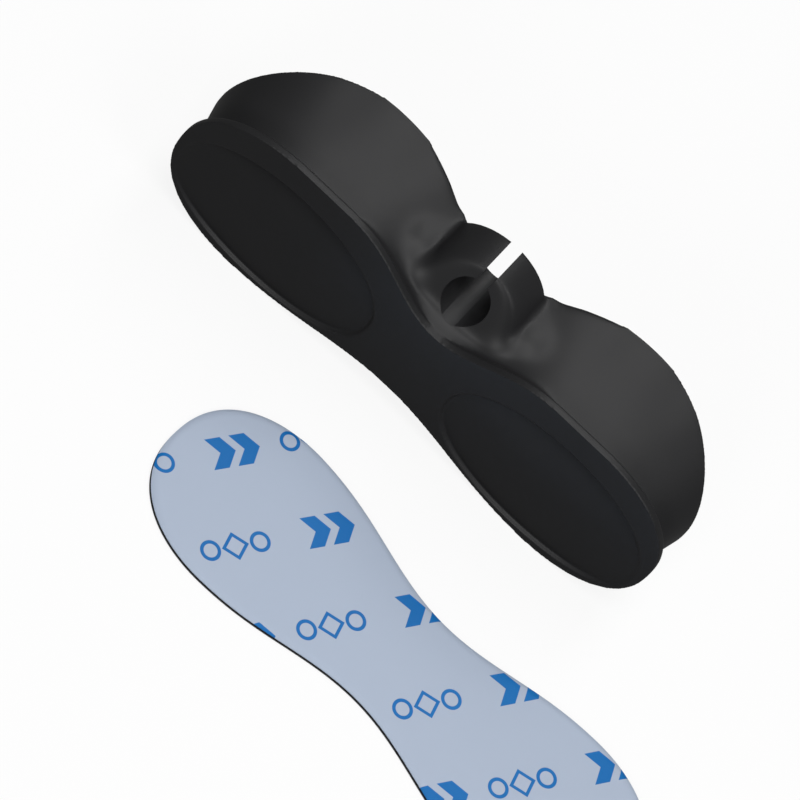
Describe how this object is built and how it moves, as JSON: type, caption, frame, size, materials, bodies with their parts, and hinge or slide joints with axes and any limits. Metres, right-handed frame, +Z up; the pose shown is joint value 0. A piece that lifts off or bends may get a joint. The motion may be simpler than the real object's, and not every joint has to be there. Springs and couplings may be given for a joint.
{
  "type": "cord winder with cable clip",
  "caption": "Moulded rubber cord winder: two flared wings, pocketed mounting face, slit cable clip, and its peanut-shaped foam mounting pad lying in front.",
  "frame": {"origin": "middle of the winder's mounting face", "axes": "+X along the winder, +Y from the mounting face towards the front, +Z up towards the cable clip"},
  "size_m": [0.1438, 0.0789, 0.0381],
  "materials": {
    "body_rubber": "matte moulded silicone",
    "foam": "closed-cell foam",
    "liner_print": "satin release film with blue print",
    "liner_plain": "satin release film"
  },
  "bodies": {
    "root": {"winder_body": "body_rubber", "foam_pad": "foam", "printed_liner": "liner_print", "back_liner": "liner_plain"}
  },
  "joints": []
}
